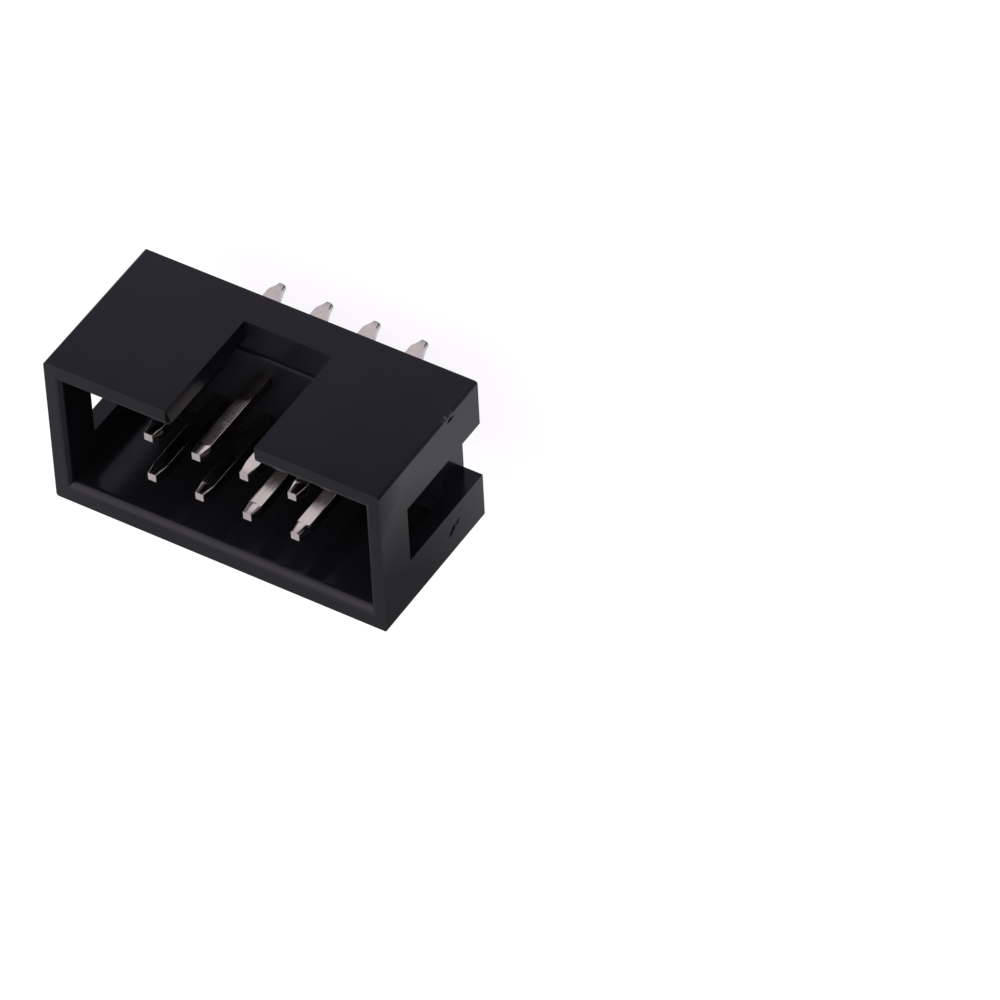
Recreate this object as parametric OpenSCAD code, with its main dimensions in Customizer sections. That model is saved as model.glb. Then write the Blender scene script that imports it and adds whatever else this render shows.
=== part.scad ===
// Shrouded box header for flat ribbon cable, straight, for a through-hole board.
// Millimetres. The underside that sits on the board is the plane Z = 0, its middle is the origin,
// X runs along the two rows, the keyed long wall is on the -Y side and the plug comes down along -Z.

/* [Contact grid] */
// Distance between neighbouring contacts, in both directions
pitch = 2.54; // [1.27:0.01:5.08]
// Side of the square wire that the contacts are made from
wire = 0.64; // [0.4:0.01:1]
// Extra width of the hole in the floor over the wire, 0 for a press fit with the faces touching
press_clearance = 0; // [0:0.01:0.2]

/* [Housing outside] */
// Length of floor that stands out past the middle of the last contact at each end
end_margin = 5.04; // [3.5:0.01:8]
// Width of the housing across both long walls
housing_width = 8.5; // [6.5:0.05:12]
// Height of the housing from the board to the rim
housing_height = 8.4; // [6:0.05:14]
// Radius of the four upright outer corners
corner_radius = 0.15; // [0.05:0.05:1]

/* [Housing inside] */
// Thickness of the two long walls
long_wall = 1.1; // [0.6:0.05:2]
// Thickness of the two end walls
end_wall = 0.85; // [0.5:0.05:2]
// Thickness of the floor that grips the contacts
floor_thickness = 1.8; // [1:0.05:3]
// Radius of the rounded lead-in along the rim of the long walls
long_lead_in = 0.5; // [0.1:0.05:0.6]
// Radius of the rounded lead-in along the rim of the end walls
end_lead_in = 0.35; // [0.1:0.05:0.5]
// Height of the raised pad that the contacts stand in
pad_height = 0.2; // [0.05:0.05:1]
// Reach of the raised pad past the faces of the outer contacts
pad_border = 0.9; // [0.3:0.05:1.2]

/* [Key notch and end slots] */
// Width of the notch in the keyed wall for the key of the plug
key_width = 4.7; // [3:0.05:6]
// Width of the slot in each end wall
slot_width = 3.25; // [1.5:0.05:5]
// Height that each end slot reaches up from the board
slot_height = 6.2; // [3:0.05:7]
// Depth that each end slot cuts in past the inside of the end wall, into the end of the floor
slot_undercut = 0.15; // [0.05:0.05:0.5]

/* [Underside] */
// Side of the square solder pocket round each tail
pocket_width = 1.5; // [1:0.05:2.2]
// Depth of the solder pockets
pocket_depth = 0.8; // [0.2:0.05:1.2]
// Diameter of the round ejector marks
mark_diameter = 1.1; // [0.5:0.05:2]
// Depth of the ring round each ejector mark
mark_depth = 0.15; // [0.05:0.05:0.4]
// Diameter of the button left standing in the middle of each ejector mark
mark_button = 0.5; // [0.2:0.05:0.8]
// Depth of the top of that button below the underside
button_depth = 0.05; // [0.01:0.01:0.1]
// Distance from the middle of the last contact out to the ejector marks
mark_reach = 2.4; // [1.5:0.05:4]
// Distance from the outside of a long wall in to the middle of its ejector marks
mark_inset = 1.35; // [0.8:0.05:2.4]

/* [Contact ends] */
// Distance that the contact tips stay below the rim
tip_recess = 0.6; // [0.1:0.05:3]
// Length of the taper on the plug end of a contact
plug_taper = 0.65; // [0.2:0.05:1.5]
// Width left flat on the plug end of a contact
plug_flat = 0.36; // [0.1:0.02:0.5]
// Length of the tail below the board face of the housing
tail_length = 3.45; // [2:0.05:5]
// Length of the taper on the tail end of a contact
tail_taper = 0.65; // [0.2:0.05:1.5]
// Width left flat on the tail end of a contact
tail_flat = 0.36; // [0.1:0.02:0.5]

/* [Hidden] */
$fn = 48;
columns = 4;
// a cutter runs this far past the face it opens
past = 1;
first_x = -(columns - 1) * pitch / 2;
row_y = pitch / 2;
housing_length = 2 * (end_margin - first_x);
cavity_length = housing_length - 2 * end_wall;
cavity_width = housing_width - 2 * long_wall;
pad_top = floor_thickness + pad_height;
pad_length = 2 * (pad_border - first_x) + wire;
pad_width = 2 * (pad_border + row_y) + wire;
hole = wire + press_clearance;
tip_z = housing_height - tip_recess;
plastic = [0.13, 0.125, 0.15];
tin = [0.82, 0.8, 0.8];

// Middle of a contact, counted along the rows: odd numbers stand beside the keyed wall.
function column_x(c) = first_x + c * pitch;

// A box centred on X = 0 and Y = 0 that stands on its lowest Z.
module block(x, y, z0, z1) {
    translate([-x / 2, -y / 2, z0]) cube([x, y, z1 - z0]);
}

// The outer block with its four upright corners rounded.
module outer_block() {
    block(housing_length - 2 * corner_radius, housing_width, 0, housing_height);
    block(housing_length, housing_width - 2 * corner_radius, 0, housing_height);
    for (sx = [-1, 1], sy = [-1, 1])
        translate([sx * (housing_length / 2 - corner_radius), sy * (housing_width / 2 - corner_radius), 0])
            cylinder(r = corner_radius, h = housing_height);
}

// The plug space as one pair of facing walls leaves it, with a round lead-in of radius r at the rim.
// It is drawn for walls that run along X, a width apart, over a length.
module plug_space(length, width, r) {
    block(length, width, floor_thickness, housing_height + past);
    difference() {
        block(length, width + 2 * r, housing_height - r, housing_height + past);
        for (s = [-1, 1])
            translate([-length, s * (width / 2 + r), housing_height - r])
                rotate([0, 90, 0]) cylinder(r = r, h = 2 * length);
    }
}

// Where the two lead-ins meet in a corner they mitre, as the mould does.
module cavity() {
    intersection() {
        plug_space(housing_length, cavity_width, long_lead_in);
        rotate([0, 0, 90]) plug_space(housing_width, cavity_length, end_lead_in);
    }
}

// Opens the keyed wall from the floor to the rim.
module key_notch() {
    translate([-key_width / 2, -housing_width / 2 - past, floor_thickness])
        cube([key_width, long_wall + long_lead_in + past, housing_height - floor_thickness + past]);
}

// Opens both end walls from the board face up, and bites a little into the ends of the floor.
module end_slots() {
    depth = end_wall + slot_undercut;
    for (s = [-1, 1])
        translate([s * (housing_length / 2 - depth / 2 + past / 2), 0, 0])
            block(depth + past, slot_width, -past, slot_height);
}

// A square pocket round each tail and, inside it, the hole that grips the contact.
module contact_openings() {
    for (c = [0 : columns - 1], s = [-1, 1])
        translate([column_x(c), s * row_y, 0]) {
            block(pocket_width, pocket_width, -past, pocket_depth);
            block(hole, hole, 0, pad_top + past);
        }
}

// The round marks that the mould's ejector sleeves leave, each with a low button in its middle.
module ejector_marks() {
    for (sx = [-1, 1], sy = [-1, 1])
        translate([sx * (mark_reach - first_x), sy * (housing_width / 2 - mark_inset), 0])
            difference() {
                translate([0, 0, -past]) cylinder(d = mark_diameter, h = past + mark_depth);
                translate([0, 0, button_depth]) cylinder(d = mark_button, h = mark_depth);
            }
}

module housing() {
    color(plastic)
    difference() {
        union() {
            difference() {
                outer_block();
                cavity();
                key_notch();
            }
            block(pad_length, pad_width, floor_thickness / 2, pad_top);
        }
        end_slots();
        contact_openings();
        ejector_marks();
    }
}

// Side view of a contact: straight wire with a taper to a small flat at both ends.
module contact_profile() {
    polygon([
        [-tail_flat / 2, -tail_length], [tail_flat / 2, -tail_length],
        [wire / 2, tail_taper - tail_length], [wire / 2, tip_z - plug_taper],
        [plug_flat / 2, tip_z], [-plug_flat / 2, tip_z],
        [-wire / 2, tip_z - plug_taper], [-wire / 2, tail_taper - tail_length]
    ]);
}

// The same profile seen from two sides gives the four-sided tapers.
module contact(number) {
    c = floor((number - 1) / 2);
    s = number % 2 == 1 ? -1 : 1;
    color(tin)
    translate([column_x(c), s * row_y, 0])
        intersection() {
            rotate([90, 0, 0]) linear_extrude(height = 2 * wire, center = true) contact_profile();
            rotate([90, 0, 90]) linear_extrude(height = 2 * wire, center = true) contact_profile();
        }
}

housing();
contact(1);  // contact_1
contact(2);  // contact_2
contact(3);  // contact_3
contact(4);  // contact_4
contact(5);  // contact_5
contact(6);  // contact_6
contact(7);  // contact_7
contact(8);  // contact_8
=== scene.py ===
# %% [markdown]
# # A shrouded box header, dressed for its portrait
# The real object is a small board connector: one black plastic moulding with eight square tinned
# posts pressed through its floor. The CAD frame already holds both, in metres, with the board face
# at Z = 0. This lesson keeps that frame, swaps each plain CAD solid for a finished piece of the
# same size, gives it a finish made only of nodes, and lights it like a product on a white table.

# %% Load the frame
import bmesh
import bpy
from math import radians
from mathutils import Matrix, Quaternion, Vector, noise


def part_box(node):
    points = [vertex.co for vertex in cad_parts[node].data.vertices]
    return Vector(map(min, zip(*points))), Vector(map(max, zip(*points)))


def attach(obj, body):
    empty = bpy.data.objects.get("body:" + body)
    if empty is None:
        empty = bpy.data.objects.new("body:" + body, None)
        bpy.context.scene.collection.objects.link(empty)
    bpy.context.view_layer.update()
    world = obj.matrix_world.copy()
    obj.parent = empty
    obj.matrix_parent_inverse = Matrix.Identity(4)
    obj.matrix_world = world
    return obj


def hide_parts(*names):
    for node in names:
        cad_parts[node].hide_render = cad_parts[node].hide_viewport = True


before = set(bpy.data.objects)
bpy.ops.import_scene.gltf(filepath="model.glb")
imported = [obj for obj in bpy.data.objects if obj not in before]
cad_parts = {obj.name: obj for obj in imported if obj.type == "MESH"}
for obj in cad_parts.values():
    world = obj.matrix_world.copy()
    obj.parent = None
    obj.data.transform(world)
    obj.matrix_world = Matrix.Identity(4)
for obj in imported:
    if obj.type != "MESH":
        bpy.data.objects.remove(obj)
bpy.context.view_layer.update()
MM = 0.001
print("CAD nodes:", sorted(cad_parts))

# %% [markdown]
# The camera comes first, because everything is judged through it. A long lens far away keeps the
# walls nearly parallel, as close-up product pictures do. The camera is rolled, so the header seems
# to lie on its plain long wall with its mouth towards us, although it stands on its tails here.
# A quaternion holds the whole aim in four numbers; Euler angles would do too, but the roll is
# then hidden in all three of them.

# %% Camera
camera_data = bpy.data.cameras.new("portrait_lens")
camera_data.sensor_width = 36.0
camera_data.lens = 322.756
camera_data.clip_start = 0.01
camera = bpy.data.objects.new("portrait_camera", camera_data)
camera.rotation_mode = "QUATERNION"
camera.location = (-0.166431, -0.284695, 0.236899)
camera.rotation_quaternion = Quaternion((-0.0871657, -0.2557619, -0.3762003, 0.8862625))
bpy.context.scene.collection.objects.link(camera)
bpy.context.scene.camera = camera
print("camera looks along", (camera.rotation_quaternion @ Vector((0, 0, -1))).to_tuple(3))

# %% [markdown]
# Where things are comes from the frame, never from guesswork: the box of each CAD node gives the
# height of the rim, the spread of the posts and the square of the wire. Only sizes that the boxes
# can't tell, such as the length of a taper, are written down as numbers later.

# %% Sizes read from the frame
shell_low, shell_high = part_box("housing")
posts = {name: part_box(name) for name in sorted(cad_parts) if name.startswith("contact_")}
wire = (posts["contact_1"][1] - posts["contact_1"][0]).x
tail_end = posts["contact_1"][0].z
plug_end = posts["contact_1"][1].z
rim = shell_high.z
print(f"rim {rim / MM:.2f} mm, wire {wire / MM:.2f} mm, tails down to {tail_end / MM:.2f} mm")


def post_centre(name):
    low, high = posts[name]
    return Vector(((low.x + high.x) / 2, (low.y + high.y) / 2, 0.0))


# %% [markdown]
# A finished piece needs the same few steps each time: turn the bmesh into an object, give it a
# material, tell the frame which body carries it and hide the CAD node it stands for. One helper
# does that, and adds a modifier that lets large flat faces rule the shading of the small round ones
# beside them. Two more helpers shade smooth across small angles and round a group of edges.

# %% Helpers: finish a mesh and hang it on the frame
def hang(bm, name, material, node=None, flatness=85):
    mesh = bpy.data.meshes.new(name)
    bm.to_mesh(mesh)
    bm.free()
    piece = bpy.data.objects.new(name, mesh)
    bpy.context.scene.collection.objects.link(piece)
    mesh.materials.append(material)
    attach(piece, "root")
    if node:
        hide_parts(node)
    flat_faces = piece.modifiers.new("flat_faces_stay_flat", "WEIGHTED_NORMAL")
    flat_faces.keep_sharp = True
    flat_faces.weight = flatness
    return piece


def soften(bm, limit):
    for face in bm.faces:
        face.smooth = True
    for edge in bm.edges:
        edge.smooth = len(edge.link_faces) == 2 and edge.calc_face_angle(0.0) < limit


def bevel(bm, edges, width, segments):
    made = bmesh.ops.bevel(bm, geom=edges, affect="EDGES", offset=width, offset_type="OFFSET",
                           segments=segments, profile=0.5, material=-1, clamp_overlap=True)
    return made["faces"]


# %% [markdown]
# A material is a little graph. These helpers keep the graphs readable: one adds a node and sets its
# sockets, one makes a noise in Object coordinates, so that the pattern sticks to the metal or the
# plastic wherever the piece goes, and the others turn a noise into what a socket needs.

# %% Helpers for node graphs
def add(tree, kind, **sockets):
    node = tree.nodes.new(kind)
    for key, value in sockets.items():
        node.inputs[key.replace("_", " ")].default_value = value
    return node


def fresh_material(name):
    material = bpy.data.materials.new(name)
    material.use_nodes = True
    tree = material.node_tree
    tree.nodes.clear()
    surface = tree.nodes.new("ShaderNodeBsdfPrincipled")
    output = tree.nodes.new("ShaderNodeOutputMaterial")
    tree.links.new(surface.outputs["BSDF"], output.inputs["Surface"])
    return material, tree, surface


def object_place(tree):
    return tree.nodes.new("ShaderNodeTexCoord").outputs["Object"]


def grain(tree, place, scale, detail, rough, stretch=None):
    """A noise. Its scale is about the number of grains in a metre."""
    if stretch:
        mapping = add(tree, "ShaderNodeMapping", Scale=stretch)
        tree.links.new(place, mapping.inputs["Vector"])
        place = mapping.outputs["Vector"]
    node = add(tree, "ShaderNodeTexNoise", Scale=scale, Detail=detail, Roughness=rough)
    tree.links.new(place, node.inputs["Vector"])
    return node.outputs["Fac"]


def spread(tree, value, low, high, from_low=0.3, from_high=0.7):
    """Stretches a value from one range to another. A noise mostly lies between 0.3 and 0.7."""
    node = add(tree, "ShaderNodeMapRange",
               From_Min=from_low, From_Max=from_high, To_Min=low, To_Max=high)
    tree.links.new(value, node.inputs["Value"])
    return node.outputs["Result"]


def join(tree, kind, first, second):
    """Calculates with two values; each is a plain number or the output of another node."""
    node = tree.nodes.new("ShaderNodeMath")
    node.operation = kind
    for socket, value in zip(node.inputs, (first, second)):
        if isinstance(value, float):
            socket.default_value = value
        else:
            tree.links.new(value, socket)
    return node.outputs["Value"]


def times(tree, first, second):
    return join(tree, "MULTIPLY", first, second)


def rest(tree, value):
    """What is left of 1 when the value is taken away."""
    return join(tree, "SUBTRACT", 1.0, value)


def tint(tree, factor, first, second):
    """Mixes two colours; each is three numbers or the output of another tint."""
    node = tree.nodes.new("ShaderNodeMix")
    node.data_type = "RGBA"
    for socket, value in ((node.inputs[6], first), (node.inputs[7], second)):
        if isinstance(value, tuple):
            socket.default_value = (*value, 1.0)
        else:
            tree.links.new(value, socket)
    tree.links.new(factor, node.inputs[0])
    return node.outputs[2]


def attribute(tree, name):
    node = tree.nodes.new("ShaderNodeAttribute")
    node.attribute_name = name
    return node.outputs["Fac"]


def apart(tree, vector):
    """The X, Y and Z of a vector, as sockets to pick from."""
    node = tree.nodes.new("ShaderNodeSeparateXYZ")
    tree.links.new(vector, node.inputs["Vector"])
    return node.outputs


def bump(tree, height, distance, strength, below=None):
    node = add(tree, "ShaderNodeBump", Distance=distance, Strength=strength)
    tree.links.new(height, node.inputs["Height"])
    if below:
        tree.links.new(below, node.inputs["Normal"])
    return node.outputs["Normal"]


# %% [markdown]
# Small damage sits in one place, so it needs a mask instead of an all-over noise. A spherical
# gradient is 1 in its middle and 0 on its skin; a Mapping node set to Texture moves and stretches
# that ball to where the scar is, and a fine noise frays its outline. How soon the mask gets full
# decides whether the spot looks cut or smudged. A painted image would need UVs and a file.

# %% Helper: a frayed spot
def spot(tree, place, middle, reach, tilt=0.0, fray=0.9, scale=3500.0, soft=0.25):
    """Middle and reach in millimetres, tilt in degrees about X."""
    mapping = add(tree, "ShaderNodeMapping", Location=[v * MM for v in middle],
                  Scale=[v * MM for v in reach], Rotation=(radians(tilt), 0.0, 0.0))
    mapping.vector_type = "TEXTURE"
    tree.links.new(place, mapping.inputs["Vector"])
    ball = tree.nodes.new("ShaderNodeTexGradient")
    ball.gradient_type = "SPHERICAL"
    tree.links.new(mapping.outputs["Vector"], ball.inputs["Vector"])
    torn = spread(tree, grain(tree, place, scale, 3.0, 0.6), -fray, 0.0)
    return spread(tree, join(tree, "ADD", ball.outputs["Fac"], torn), 0.0, 1.0, 0.05, soft)


# %% [markdown]
# The end wall at -X is torn in two places, as if the part had been broken off its feed there: a
# nick near the keyed wall, and a slanting crack between the slot and the plain wall. Pale scuffs
# lie round the corner beside the nick. All are masks of the kind made above. They could be carved
# into the mesh, but at a few tenths of a millimetre the eye can't tell. So the nick and the crack
# are painted darker and mirror less, a painted shade for their hollows; their roughness and bump
# are the torn surface itself.

# %% Helpers: the torn places
END_WALL = shell_low.x / MM


# The mask of the tears also carries their painted shade.
def torn_places_and_shade(tree, place):
    nick = spot(tree, place, (END_WALL, -3.93, 2.35), (0.30, 0.24, 0.58), 4.0,
                fray=0.5, scale=6000.0, soft=0.6)
    crack = spot(tree, place, (END_WALL, 2.80, 2.70), (0.30, 0.34, 0.72), -20.0,
                 fray=0.5, scale=3000.0, soft=0.5)
    crack_end = spot(tree, place, (END_WALL, 2.63, 2.25), (0.30, 0.16, 0.36), -48.0,
                     fray=0.3, scale=3000.0, soft=0.5)
    return join(tree, "MAXIMUM", nick, join(tree, "MAXIMUM", crack, crack_end))


def pale_scuffs(tree, place):
    corner = spot(tree, place, (END_WALL, -4.15, 2.60), (0.32, 0.30, 0.75), fray=0.6, scale=3000.0)
    specks = spread(tree, grain(tree, place, 7000.0, 2.0, 0.5), 0.0, 1.0, 0.50, 0.62)
    return times(tree, corner, specks)


# %% [markdown]
# The skin is given an uneven specular level. The floor of the cavity is rougher and mirrors little.
# On the outer faces the weaker level is painted shade: the end wall at -X mirrors least towards the
# rim and the plain wall, a painted reflection of shade on a table beside it, the rim mirrors less
# away from +X, and the keyed wall mirrors most at the board. The level is picked by where a face is
# and by the direction it looks. Painting lighter and darker colours would be simpler, but such a
# gradient would stay the same from every side, which gives it away.

# %% Helpers: uneven gloss and painted shade
FULL_SHINE, DARKEST_REFLECTION_SHARE = 0.5, 0.11
# Tears mirror less: painted shade for their hollows.
SCAR_DULLS_AND_SHADES, FLOOR_DULLS = 0.9, 0.45
MATT_UP_TO, SHINY_FROM = 2.1 * MM, 2.3 * MM


def matt_floor(tree, where, facing):
    low_down = spread(tree, where["Z"], 1.0, 0.0, MATT_UP_TO, SHINY_FROM)
    return times(tree, low_down, spread(tree, facing["Z"], 0.0, 1.0, 0.2, 0.6))


# Painted reflection: the end wall mirrors less towards the rim and the plain wall, as if shade on a
# table lay there.
def end_wall_painted_reflection(tree, place, facing):
    to_plain_wall = spot(tree, place, (END_WALL, 8.0, 10.5), (0.60, 13.2, 13.2),
                         fray=0.02, soft=0.45)
    to_rim = spot(tree, place, (END_WALL, -3.0, 11.0), (0.60, 6.0, 5.0),
                  fray=0.02, soft=0.65)
    on_end_wall = spread(tree, facing["X"], 1.0, 0.0, -0.9, -0.3)
    reflected_shade = times(tree, join(tree, "MAXIMUM", to_plain_wall, to_rim), on_end_wall)
    return times(tree, join(tree, "POWER", DARKEST_REFLECTION_SHARE, reflected_shade), FULL_SHINE)


# Painted shade: the rim mirrors less away from +X, the keyed wall less towards the rim.
def rim_and_keyed_wall_painted_shade(tree, where, facing):
    on_rim = spread(tree, facing["Z"], 0.0, 1.0, 0.8, 0.95)
    rim_shade = times(tree, on_rim, spread(tree, where["X"], 0.30, 0.0, 5.0 * MM, 8.6 * MM))
    on_keyed_wall = spread(tree, facing["Y"], 1.0, 0.0, -0.95, -0.8)
    slope = join(tree, "SUBTRACT", where["Z"], times(tree, where["X"], 0.35))
    keyed_wall_shade = times(tree, on_keyed_wall, spread(tree, slope, -0.32, 0.30, -2.0 * MM, 11.0 * MM))
    return join(tree, "ADD", rim_shade, keyed_wall_shade)


# The shine carries the painted reflection on the end wall and painted shade on the rim, keyed wall
# and tears.
def plastic_shine_and_painted_shade(tree, place, where, facing, scar_and_shade, floor):
    unshaded = rest(tree, rim_and_keyed_wall_painted_shade(tree, where, facing))
    unbroken = rest(tree, times(tree, scar_and_shade, SCAR_DULLS_AND_SHADES))
    kept_by_floor = rest(tree, times(tree, floor, FLOOR_DULLS))
    shine = times(tree, end_wall_painted_reflection(tree, place, facing), unshaded)
    return times(tree, shine, times(tree, unbroken, kept_by_floor))


# %% [markdown]
# The housing is moulded black plastic. It is nearly black by itself; what the eye reads as dark
# grey is the white room mirrored in a smooth skin, stronger where the surface is seen at a grazing
# angle. So the colour is kept very dark and the work goes into roughness and bump: slow flow marks
# from the melt, a fine grain, and edges painted a little paler, partly wear and partly a painted
# highlight. A lower index of refraction than the textbook's keeps the mirror image weak from the
# front, and a slightly violet specular tint gives the cool cast of the real surfaces.

# %% Material: black moulded plastic
BODY_DEEP, BODY_PALE = (0.0021, 0.0020, 0.0028), (0.0029, 0.0028, 0.0038)
# The paler edge colour is partly wear, partly a painted highlight.
WORN_AND_HIGHLIT_EDGE, SCUFFED, TORN_AND_SHADED = (0.020, 0.019, 0.022), (0.036, 0.034, 0.039), (0.0012, 0.0010, 0.0016)
COOL_MIRROR = (0.74, 0.71, 1.0, 1.0)
SCAR_ROUGH, FLOOR_ROUGH = 0.8, 0.36
PLASTIC_IOR = 1.22


def make_black_plastic():
    material, tree, surface = fresh_material("black_moulded_plastic")
    place = object_place(tree)
    where = apart(tree, place)
    facing = apart(tree, tree.nodes.new("ShaderNodeNewGeometry").outputs["Normal"])
    flow = grain(tree, place, 420.0, 4.0, 0.55, stretch=(1.0, 1.0, 0.45))
    pores = grain(tree, place, 4200.0, 3.0, 0.7)
    fine = grain(tree, place, 14000.0, 2.0, 0.6)
    streaks = grain(tree, place, 1800.0, 3.0, 0.5, stretch=(1.0, 1.0, 0.12))
    scar_and_shade = torn_places_and_shade(tree, place)
    floor = matt_floor(tree, where, facing)

    # Edges are painted paler: partly wear, partly a painted highlight.
    worn_and_highlit = times(tree, attribute(tree, "edge_wear_and_highlight"), spread(tree, pores, 0.1, 1.0))
    body = tint(tree, spread(tree, flow, 0.0, 1.0), BODY_DEEP, BODY_PALE)
    marked_colour = tint(tree, pale_scuffs(tree, place), tint(tree, worn_and_highlit, body, WORN_AND_HIGHLIT_EDGE), SCUFFED)
    # The tears are painted darker: painted shade for hollows the mesh doesn't have.
    tree.links.new(tint(tree, scar_and_shade, marked_colour, TORN_AND_SHADED), surface.inputs["Base Color"])

    satin = join(tree, "ADD", spread(tree, pores, 0.13, 0.20), spread(tree, streaks, -0.02, 0.04))
    matt = join(tree, "MAXIMUM", times(tree, scar_and_shade, SCAR_ROUGH), times(tree, floor, FLOOR_ROUGH))
    tree.links.new(join(tree, "MAXIMUM", satin, matt), surface.inputs["Roughness"])

    surface.inputs["IOR"].default_value = PLASTIC_IOR
    surface.inputs["Specular Tint"].default_value = COOL_MIRROR
    # The specular level carries painted shade and a painted reflection.
    shine = plastic_shine_and_painted_shade(tree, place, where, facing, scar_and_shade, floor)
    tree.links.new(shine, surface.inputs["Specular IOR Level"])

    slow = bump(tree, flow, 0.040 * MM, 0.12)
    skin = bump(tree, fine, 0.003 * MM, 0.20, slow)
    pitted = bump(tree, rest(tree, scar_and_shade), 0.12 * MM, 0.1, skin)
    tree.links.new(pitted, surface.inputs["Normal"])
    return material


black_plastic = make_black_plastic()
print("plastic nodes:", len(black_plastic.node_tree.nodes))

# %% [markdown]
# The posts are square wire, drawn through a die and tinned. Drawing leaves faint lines along the
# wire. Cutting leaves the very end greyer, and the corners of the tail just above the cut are
# painted nearly black. Two attributes on the mesh tell the material where those places are. A
# noise squeezed to long threads makes the lines; an anisotropic shader would blur the mirror image
# the same way, but shows no single lines.

# %% Material: bright tin on drawn wire
TIN_DEEP, TIN_PALE = (0.435, 0.385, 0.382), (0.50, 0.445, 0.442)
# The nearly black colour goes on the tail corners just above the cut.
SHEARED, DARK_CORNER = (0.27, 0.245, 0.25), (0.10, 0.09, 0.088)


def make_tin_plate():
    material, tree, surface = fresh_material("bright_tin_plate")
    place = object_place(tree)
    drawn = grain(tree, place, 14000.0, 2.0, 0.5, stretch=(1.0, 1.0, 0.015))
    cloud = grain(tree, place, 1500.0, 3.0, 0.5)
    tip = times(tree, attribute(tree, "cut_tip"), spread(tree, cloud, 0.5, 1.0))

    plating = tint(tree, spread(tree, cloud, 0.0, 1.0), TIN_DEEP, TIN_PALE)
    cut = tint(tree, tip, plating, SHEARED)
    marked_colour = tint(tree, attribute(tree, "dark_tail_corner"), cut, DARK_CORNER)
    tree.links.new(marked_colour, surface.inputs["Base Color"])

    bright = join(tree, "ADD", spread(tree, cloud, 0.08, 0.16), times(tree, tip, 0.16))
    tree.links.new(bright, surface.inputs["Roughness"])
    surface.inputs["Metallic"].default_value = 1.0
    lines = bump(tree, drawn, 0.008 * MM, 0.5)
    tree.links.new(bump(tree, cloud, 0.010 * MM, 0.15, lines), surface.inputs["Normal"])
    return material


tin_plate = make_tin_plate()
print("tin nodes:", len(tin_plate.node_tree.nodes))

# %% [markdown]
# The shroud is the CAD housing itself, because its shape is already right. A copy is merged, since
# a CAD mesh is loose triangles, and its flat parts are dissolved into clean faces. Then the edges
# get the small radii that a mould leaves, in groups: the two rim corners beside the notch are the
# roundest, the raised pad has a soft shoulder, all other outer edges are barely broken. These
# helpers find each group by where its edges lie. Picking edges by their numbers would be shorter,
# but those numbers change as soon as an earlier step does.

# %% Helpers: find the edges to round
SHARP = radians(40)
CLOSE = 0.01 * MM
PAD_TOP = 2.0 * MM
NOTCH_HALF = 2.35 * MM
NOTCH_SHORTEST = 0.1 * MM
DEEP_X, DEEP_Y, DEEP_BELOW_RIM = 7.7 * MM, 3.2 * MM, 1.0 * MM
PAD_CLEARS_POST, EDGE_CLEARS_POST = 0.5 * MM, 0.4 * MM


def sharp_edges(bm):
    return [e for e in bm.edges if len(e.link_faces) == 2 and e.calc_face_angle(0.0) > SHARP]


def middle(edge):
    return (edge.verts[0].co + edge.verts[1].co) / 2


def near_a_post(point, reach):
    return any(max(abs(point.x - post_centre(name).x), abs(point.y - post_centre(name).y)) < reach
               for name in posts)


def notch_corners(bm):
    def counts(edge):
        one, other = (vert.co for vert in edge.verts)
        on_rim = max(abs(one.z - rim), abs(other.z - rim)) < CLOSE
        beside_notch = abs(abs(middle(edge).x) - NOTCH_HALF) < CLOSE
        return on_rim and beside_notch and abs(one.y - other.y) > NOTCH_SHORTEST
    return [e for e in sharp_edges(bm) if counts(e)]


def pad_shoulder(bm):
    def counts(edge):
        point = middle(edge)
        return abs(point.z - PAD_TOP) < CLOSE and not near_a_post(point, PAD_CLEARS_POST)
    return [e for e in sharp_edges(bm) if counts(e)]


def outer_edges(bm):
    def counts(edge):
        point = middle(edge)
        between_walls = abs(point.x) < DEEP_X and abs(point.y) < DEEP_Y
        deep = between_walls and point.z < rim - DEEP_BELOW_RIM
        return not deep and not near_a_post(point, EDGE_CLEARS_POST)
    return [e for e in sharp_edges(bm) if counts(e)]


# %% [markdown]
# Now the shroud is made. The order matters: each bevel cuts new edges, so the widest goes first
# and the finest last, over what the others left. The radius is what catches light and makes a black
# box readable. A Bevel modifier with a weight on each edge could do it too, but only a bevel made
# here hands back its new faces, so that the finest can be marked for the material's paler edges,
# partly wear and partly a painted highlight.

# %% The shroud
NOTCH_ROUND, PAD_ROUND, EDGE_ROUND = 0.15 * MM, 0.12 * MM, 0.045 * MM
WEAR_AND_HIGHLIGHT = 0.3


def make_shroud():
    bm = bmesh.new()
    bm.from_mesh(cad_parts["housing"].data)
    worn_and_highlit = bm.faces.layers.float.new("edge_wear_and_highlight")
    bmesh.ops.remove_doubles(bm, verts=bm.verts, dist=0.002 * MM)
    bmesh.ops.dissolve_limit(bm, angle_limit=radians(1), verts=bm.verts, edges=bm.edges)
    counts = [len(group(bm)) for group in (notch_corners, pad_shoulder, outer_edges)]
    bevel(bm, notch_corners(bm), NOTCH_ROUND, 4)
    bevel(bm, pad_shoulder(bm), PAD_ROUND, 3)
    # The finest rounded edges are marked for wear and a painted highlight.
    for face in bevel(bm, outer_edges(bm), EDGE_ROUND, 3):
        face[worn_and_highlit] = WEAR_AND_HIGHLIGHT
    soften(bm, SHARP)
    bmesh.ops.triangulate(bm, faces=[f for f in bm.faces if len(f.verts) > 4])
    print("edges rounded (notch, pad, outer):", counts, "faces:", len(bm.faces))
    return bm


hang(make_shroud(), "shroud", black_plastic, "housing")

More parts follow.
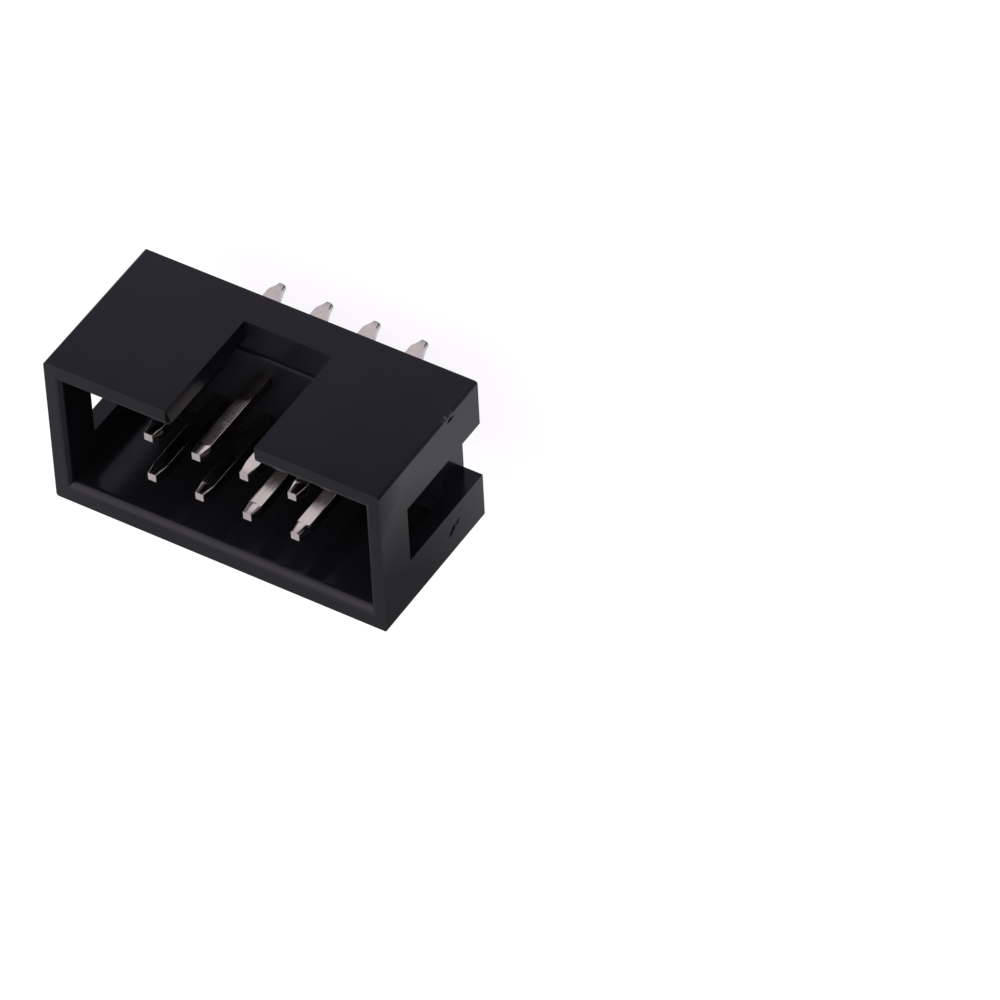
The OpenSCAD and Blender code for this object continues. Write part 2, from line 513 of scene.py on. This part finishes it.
# %% [markdown]
# Two things belong to the moulding but stand proud of its underside. At the edge by the plain wall
# are two small pips, like those that the vents of a mould leave, and along the edge of the keyed
# wall runs a whisker of plastic, like the one that creeps into the gap where a mould's halves meet.
# Both are simple shapes, sunk a little into the housing so that no slit shows. They could be
# modelled on the housing itself, but as pieces of their own they are easy to change or leave out.

# %% Pips and flash
PIP_RADIUS, PIP_FLATTENED = 0.3 * MM, 0.65
PIP_ASIDE, PIP_INSET = 6.2 * MM, 0.35 * MM
FLASH_THICK, FLASH_TALL, FLASH_INSET = 0.03 * MM, 0.10 * MM, 0.05 * MM
FLASH_SHORTER, FLASH_CUTS = 0.6 * MM, 160
HANGS_LEAST, HANGS_MORE = 0.005 * MM, 0.03 * MM
WAVES_PER_MM, MOSTLY_OUT = 2.3, 0.20


def make_pips():
    bm = bmesh.new()
    for side in (-1, 1):
        made = bmesh.ops.create_uvsphere(bm, u_segments=20, v_segments=12, radius=PIP_RADIUS)
        bmesh.ops.scale(bm, verts=made["verts"], vec=(1.0, 1.0, PIP_FLATTENED))
        seat = (side * PIP_ASIDE, shell_high.y - PIP_INSET, 0.0)
        bmesh.ops.translate(bm, verts=made["verts"], vec=seat)
    soften(bm, SHARP)
    return bm


def make_flash():
    bm = bmesh.new()
    bmesh.ops.create_cube(bm, size=1.0)
    length = (shell_high.x - shell_low.x) - FLASH_SHORTER
    bmesh.ops.scale(bm, verts=bm.verts, vec=(length, FLASH_THICK, FLASH_TALL))
    long_edges = [e for e in bm.edges if abs(e.verts[0].co.x - e.verts[1].co.x) > length / 2]
    bmesh.ops.subdivide_edges(bm, edges=long_edges, cuts=FLASH_CUTS, use_grid_fill=True)
    bmesh.ops.translate(bm, verts=bm.verts, vec=(0.0, shell_low.y + FLASH_INSET, 0.0))
    for vert in bm.verts:
        if vert.co.z < 0:
            ragged = noise.noise(Vector((vert.co.x / MM * WAVES_PER_MM, 0.0, 0.0)))
            vert.co.z = -HANGS_LEAST - HANGS_MORE * max(0.0, ragged + MOSTLY_OUT)
    soften(bm, SHARP)
    return bm


hang(make_pips(), "vent_pips", black_plastic)
hang(make_flash(), "parting_flash", black_plastic)
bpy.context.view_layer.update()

# %% [markdown]
# Each post could be a scaled cube with a pinched end, but a real one shows a crisp wire edge,
# tapers that swell softly into the wire, and a small flat where it was cut. It is drawn the way it
# is made: a square gets its four corners rounded, and this outline is pushed along the wire from
# the cut tail to the cut tip. Every corner point remembers its home on the first outline, so at
# each stop it can be put where a middle, a width and a corner radius want it.
#
# The die that presses the ends leaves them rounder than the wire between them, the tails most of
# all. It also pushes each tip a tenth of a millimetre aside, towards the keyed wall, and leaves the
# corners on the +X side crisper than the others.

# %% Helpers: the outline of the wire, stop by stop
TAPER = 0.65 * MM
TAIL_FLAT, TIP_FLAT = 0.38 * MM, 0.43 * MM
NO_SHIFT = Vector((0.0, 0.0, 0.0))
TIP_ASIDE = Vector((0.02, -0.10, 0.0)) * MM
ROUND, CRISP_SIDE = 0.25, 0.5
RISE = ((0.00, 0.00), (0.15, 0.10), (0.40, 0.32), (0.70, 0.64), (0.88, 0.84), (1.00, 0.95),
        (1.20, 1.00))
TAIL_RADII = (0.165, 0.165, 0.140, 0.090, 0.050, 0.030, 0.015)
TIP_RADII = (0.050, 0.060, 0.065, 0.045, 0.030, 0.022, 0.015)


def end_stops(end, direction, flat, aside, radii):
    """Height, shift, width and corner radius of the outline, from the cut end to the full wire."""
    return [(end + direction * TAPER * part, aside * (1 - grown), flat + (wire - flat) * grown,
             radius * MM) for (part, grown), radius in zip(RISE, radii)]


def place_outline(face, home, centre, stop):
    height, aside, width, radius = stop
    for vert in face.verts:
        unit = vert[home]
        side = Vector((1 if unit.x > 0 else -1, 1 if unit.y > 0 else -1, 0))
        here = radius if side.x < 0 else radius * CRISP_SIDE
        arc = (unit - side * (0.5 - ROUND)) * (here / ROUND)
        vert.co = centre + aside + side * (width / 2 - here) + arc + Vector((0, 0, height))


def rounded_square(bm, home):
    bmesh.ops.create_grid(bm, x_segments=1, y_segments=1, size=0.5)
    bmesh.ops.bevel(bm, geom=bm.verts[:], affect="VERTICES", offset=ROUND, offset_type="OFFSET",
                    segments=3, profile=0.5, material=-1, clamp_overlap=False)
    for vert in bm.verts:
        vert[home] = vert.co
    return bm.faces[:][0]


# %% [markdown]
# With the outline in hand, a post is one loop: extrude the face, delete the one it left inside the
# wire, and place the new outline. The first face stays, because it caps the tail. At the end the
# cut ends and the dark corners of the tail are marked for the material.

# %% The contact posts
DARK_FROM, DARK_TO = 0.02 * MM, 0.40 * MM
CORNERWISE = 0.3
POST_SHARP = radians(35)


def mark_cut_ends(bm, cut, dark_corner):
    for strip in bm.faces:
        height = strip.calc_center_median().z - tail_end
        on_a_corner = min(abs(strip.normal.x), abs(strip.normal.y)) > CORNERWISE
        if on_a_corner and DARK_FROM < height < DARK_TO:
            strip[dark_corner] = 1.0
    for vert in bm.verts:
        from_cut = min(vert.co.z - tail_end, plug_end - vert.co.z)
        vert[cut] = max(0.0, 1.0 - from_cut / (0.5 * TAPER))


def make_post(name):
    bm = bmesh.new()
    cut = bm.verts.layers.float.new("cut_tip")
    home = bm.verts.layers.float_vector.new("home")
    dark_corner = bm.faces.layers.float.new("dark_tail_corner")
    face = rounded_square(bm, home)
    stops = end_stops(tail_end, 1, TAIL_FLAT, NO_SHIFT, TAIL_RADII)
    stops += reversed(end_stops(plug_end, -1, TIP_FLAT, TIP_ASIDE, TIP_RADII))
    place_outline(face, home, post_centre(name), stops[0])
    for number, stop in enumerate(stops[1:]):
        pushed = bmesh.ops.extrude_face_region(bm, geom=[face])["geom"]
        if number > 0:
            bmesh.ops.delete(bm, geom=[face], context="FACES_ONLY")
        face = [part for part in pushed if isinstance(part, bmesh.types.BMFace)][0]
        place_outline(face, home, post_centre(name), stop)
    bmesh.ops.recalc_face_normals(bm, faces=bm.faces)
    mark_cut_ends(bm, cut, dark_corner)
    soften(bm, POST_SHARP)
    return bm


for post_name in posts:
    last_post = hang(make_post(post_name), post_name.replace("contact", "tinned_post"),
                     tin_plate, post_name, flatness=50)
print("posts:", len(posts), "of", len(last_post.data.polygons), "faces each")

# %% [markdown]
# The table is one large pale sheet. It glows by itself, like a light table, so the header's own
# shadow stays faint and the small bright tails don't drown in it. A white sheet under a strong lamp
# would also do, but the lamp would then set the brightness of the sheet and of the header together.

# %% Table
TABLE_HALF = 2.0
TABLE_GLOW = (0.97, 0.95, 1.0, 1.0)


def make_table():
    bm = bmesh.new()
    bmesh.ops.create_grid(bm, x_segments=1, y_segments=1, size=TABLE_HALF)
    bmesh.ops.translate(bm, verts=bm.verts, vec=(0, 0, tail_end))
    mesh = bpy.data.meshes.new("table")
    bm.to_mesh(mesh)
    bm.free()
    table = bpy.data.objects.new("table", mesh)
    bpy.context.scene.collection.objects.link(table)
    material, tree, surface = fresh_material("pale_table")
    surface.inputs["Base Color"].default_value = (0.05, 0.05, 0.05, 1.0)
    surface.inputs["Roughness"].default_value = 0.9
    surface.inputs["Emission Color"].default_value = TABLE_GLOW
    surface.inputs["Emission Strength"].default_value = 0.94
    mesh.materials.append(material)


make_table()

# %% [markdown]
# The light is one very large, soft source over the keyed wall's side. An area light would do, but
# its outline shows as a hard band in the smooth lead-in. So the room itself carries the light:
# every direction gets a plain white, because smooth plastic and tin show whatever is around them,
# and the closer a direction points to the lamp, the more of its slightly warm glow is added.

# %% Light
LAMP = Vector((0.394, -0.504, 0.767))
ROOM_WHITE, GLOW = 0.78, 4.9
PLAIN, WARM = (1.0, 1.0, 1.0), (1.0, 0.95, 0.80)


def make_room():
    world = bpy.data.worlds.new("white_room")
    world.use_nodes = True
    tree = world.node_tree
    direction = tree.nodes.new("ShaderNodeTexCoord").outputs["Generated"]
    towards = tree.nodes.new("ShaderNodeVectorMath")
    towards.operation = "DOT_PRODUCT"
    towards.inputs[1].default_value = LAMP
    tree.links.new(direction, towards.inputs[0])
    facing = join(tree, "POWER", join(tree, "MAXIMUM", towards.outputs["Value"], 0.0), 2.0)
    background = tree.nodes["Background"]
    tree.links.new(tint(tree, facing, PLAIN, WARM), background.inputs["Color"])
    strength = join(tree, "ADD", times(tree, facing, GLOW), ROOM_WHITE)
    tree.links.new(strength, background.inputs["Strength"])
    bpy.context.scene.world = world


make_room()
print(f"the lamp's side is {(ROOM_WHITE + GLOW) / ROOM_WHITE:.1f} times as bright as the far side")

# %% [markdown]
# Standard colour management adds no film curve, so white stays white and black plastic stays deep.

# %% Colour
bpy.context.scene.view_settings.view_transform = "Standard"
